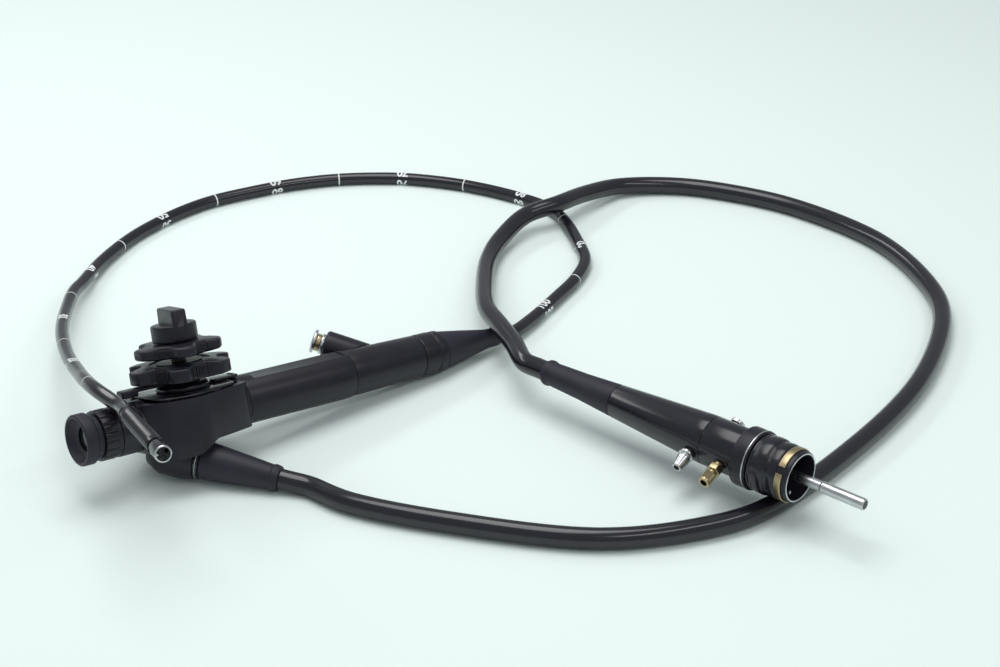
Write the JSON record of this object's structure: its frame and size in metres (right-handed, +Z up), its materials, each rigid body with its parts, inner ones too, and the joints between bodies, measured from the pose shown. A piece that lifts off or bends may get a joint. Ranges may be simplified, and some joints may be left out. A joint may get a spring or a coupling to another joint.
{
  "type": "flexible endoscope",
  "caption": "Flexible medical endoscope with an angled tip, control section with hand wheels and eyepiece, insertion tube with depth marks, and a cord with its light-guide connector.",
  "frame": {"origin": "on the table, under the middle of the control section's own box, without its cords", "axes": "+X level along the control section from the eyepiece to the insertion tube, +Y to the far side where the valve buttons are, +Z up"},
  "size_m": [0.6289, 0.6249, 0.0996],
  "materials": {
    "black_plastic": "fine-grained black moulded plastic",
    "black_gloss": "smooth polished black plastic",
    "black_rubber": "matt black rubber",
    "sheath": "satin black polymer sheath",
    "steel": "fine-turned stainless steel",
    "brass": "polished brass",
    "dark_glass": "coated optical glass"
  },
  "bodies": {
    "control_section": {"control_casing": "black_plastic", "casing_cover": "black_plastic", "chassis_plate": "steel", "cord_root_ring": "steel", "cord_root_boot": "black_rubber", "knob_post": "steel", "wheel_seat": "black_plastic", "ud_brake_disc": "steel", "ud_pull_wire": "steel", "lr_pull_wire": "steel", "suction_cylinder": "steel", "water_cylinder": "steel", "eyepiece_barrel": "black_plastic", "eyecup": "black_rubber", "ocular_lens": "dark_glass", "grip_front": "black_plastic", "grip_rear": "black_plastic", "port_branch": "black_plastic", "instrument_port": "steel", "grip_collar": "black_gloss", "insertion_boot": "black_rubber", "image_guide": "black_rubber", "light_guide": "steel", "instrument_channel": "steel", "bend_base_ring": "steel", "insertion_tube": "sheath", "universal_cord": "sheath", "connector_boot": "black_rubber", "connector_sleeve": "black_gloss", "suction_nozzle": "steel", "connector_body": "black_plastic", "air_nozzle": "brass", "connector_flange": "black_plastic", "connector_collar": "black_rubber", "brass_band": "brass", "connector_cup": "black_plastic", "light_guide_rod": "steel", "rod_glass": "dark_glass", "contact_pin": "steel"},
    "ud_knob": {"ud_wheel": "black_plastic"},
    "lr_knob": {"lr_wheel": "black_plastic"},
    "ud_lever": {"ud_brake_lever": "black_plastic"},
    "lr_brake": {"lr_brake_knob": "black_plastic"},
    "dioptre": {"dioptre_ring": "black_plastic"},
    "suction_valve": {"suction_button": "black_plastic"},
    "water_valve": {"water_button": "steel"},
    "bend_01": {"bend_link_01": "steel"},
    "bend_02": {"bend_link_02": "steel"},
    "bend_03": {"bend_link_03": "steel"},
    "bend_04": {"bend_link_04": "steel"},
    "bend_05": {"bend_link_05": "steel"},
    "bend_06": {"bend_link_06": "steel"},
    "bend_07": {"bend_link_07": "steel"},
    "bend_08": {"bend_link_08": "steel"},
    "bend_09": {"bend_link_09": "steel"},
    "tip": {"distal_tip": "steel", "objective_lens": "dark_glass", "light_lens_a": "dark_glass", "light_lens_b": "dark_glass"}
  },
  "joints": [
    {"name": "ud_knob_turn", "type": "hinge", "parent": "control_section", "child": "ud_knob", "pos_m": [-0.08032, 0.01305, 0.0341], "axis": [0.1028, 0.3502, 0.931], "range_deg": [-75, 175]},
    {"name": "lr_knob_turn", "type": "hinge", "parent": "control_section", "child": "lr_knob", "pos_m": [-0.08032, 0.01305, 0.0341], "axis": [0.1028, 0.3502, 0.931], "range_deg": [-85, 85]},
    {"name": "ud_lever_turn", "type": "hinge", "parent": "control_section", "child": "ud_lever", "pos_m": [-0.08032, 0.01305, 0.0341], "axis": [0.1028, 0.3502, 0.931], "range_deg": [-45, 0]},
    {"name": "lr_brake_turn", "type": "hinge", "parent": "control_section", "child": "lr_brake", "pos_m": [-0.08032, 0.01305, 0.0341], "axis": [0.1028, 0.3502, 0.931], "range_deg": [0, 110]},
    {"name": "dioptre_turn", "type": "hinge", "parent": "control_section", "child": "dioptre", "pos_m": [-0.08032, 0.01305, 0.0341], "axis": [0.994, 0, -0.1097], "range_deg": [-60, 60]},
    {"name": "suction_press", "type": "slide", "parent": "control_section", "child": "suction_valve", "axis": [0.0384, -0.9367, 0.3481], "range_m": [0, 0.004], "stiffness_N_per_m": 400},
    {"name": "water_press", "type": "slide", "parent": "control_section", "child": "water_valve", "axis": [0.0384, -0.9367, 0.3481], "range_m": [0, 0.004], "stiffness_N_per_m": 400},
    {"name": "bend_ud_1", "type": "hinge", "parent": "control_section", "child": "bend_01", "pos_m": [-0.13321, -0.01681, 0.06645], "axis": [-0.9266, 0.139, -0.3494], "range_deg": [-18, 42]},
    {"name": "bend_lr_1", "type": "hinge", "parent": "bend_01", "child": "bend_02", "pos_m": [-0.13494, -0.02365, 0.06831], "axis": [0.292, -0.3195, -0.9015], "range_deg": [-20.4, 20.4]},
    {"name": "bend_ud_2", "type": "hinge", "parent": "bend_02", "child": "bend_03", "pos_m": [-0.13667, -0.03049, 0.07018], "axis": [-0.9266, 0.139, -0.3494], "range_deg": [-18, 42]},
    {"name": "bend_lr_2", "type": "hinge", "parent": "bend_03", "child": "bend_04", "pos_m": [-0.1384, -0.03733, 0.07204], "axis": [0.292, -0.3195, -0.9015], "range_deg": [-20.4, 20.4]},
    {"name": "bend_ud_3", "type": "hinge", "parent": "bend_04", "child": "bend_05", "pos_m": [-0.14013, -0.04418, 0.07391], "axis": [-0.9266, 0.139, -0.3494], "range_deg": [-18, 42]},
    {"name": "bend_lr_3", "type": "hinge", "parent": "bend_05", "child": "bend_06", "pos_m": [-0.14186, -0.05102, 0.07577], "axis": [0.292, -0.3195, -0.9015], "range_deg": [-20.4, 20.4]},
    {"name": "bend_ud_4", "type": "hinge", "parent": "bend_06", "child": "bend_07", "pos_m": [-0.14359, -0.05786, 0.07763], "axis": [-0.9266, 0.139, -0.3494], "range_deg": [-18, 42]},
    {"name": "bend_lr_4", "type": "hinge", "parent": "bend_07", "child": "bend_08", "pos_m": [-0.14531, -0.0647, 0.0795], "axis": [0.292, -0.3195, -0.9015], "range_deg": [-20.4, 20.4]},
    {"name": "bend_ud_5", "type": "hinge", "parent": "bend_08", "child": "bend_09", "pos_m": [-0.14705, -0.07155, 0.08137], "axis": [-0.9266, 0.139, -0.3494], "range_deg": [-18, 42]},
    {"name": "bend_lr_5", "type": "hinge", "parent": "bend_09", "child": "tip", "pos_m": [-0.14877, -0.07839, 0.08323], "axis": [0.292, -0.3195, -0.9015], "range_deg": [-20.4, 20.4]}
  ],
  "couplings": [
    {"joint": "bend_ud_1", "follows": "ud_knob_turn", "ratio": 0.24},
    {"joint": "bend_ud_2", "follows": "ud_knob_turn", "ratio": 0.24},
    {"joint": "bend_ud_3", "follows": "ud_knob_turn", "ratio": 0.24},
    {"joint": "bend_ud_4", "follows": "ud_knob_turn", "ratio": 0.24},
    {"joint": "bend_ud_5", "follows": "ud_knob_turn", "ratio": 0.24},
    {"joint": "bend_lr_1", "follows": "lr_knob_turn", "ratio": 0.24},
    {"joint": "bend_lr_2", "follows": "lr_knob_turn", "ratio": 0.24},
    {"joint": "bend_lr_3", "follows": "lr_knob_turn", "ratio": 0.24},
    {"joint": "bend_lr_4", "follows": "lr_knob_turn", "ratio": 0.24},
    {"joint": "bend_lr_5", "follows": "lr_knob_turn", "ratio": 0.24}
  ]
}
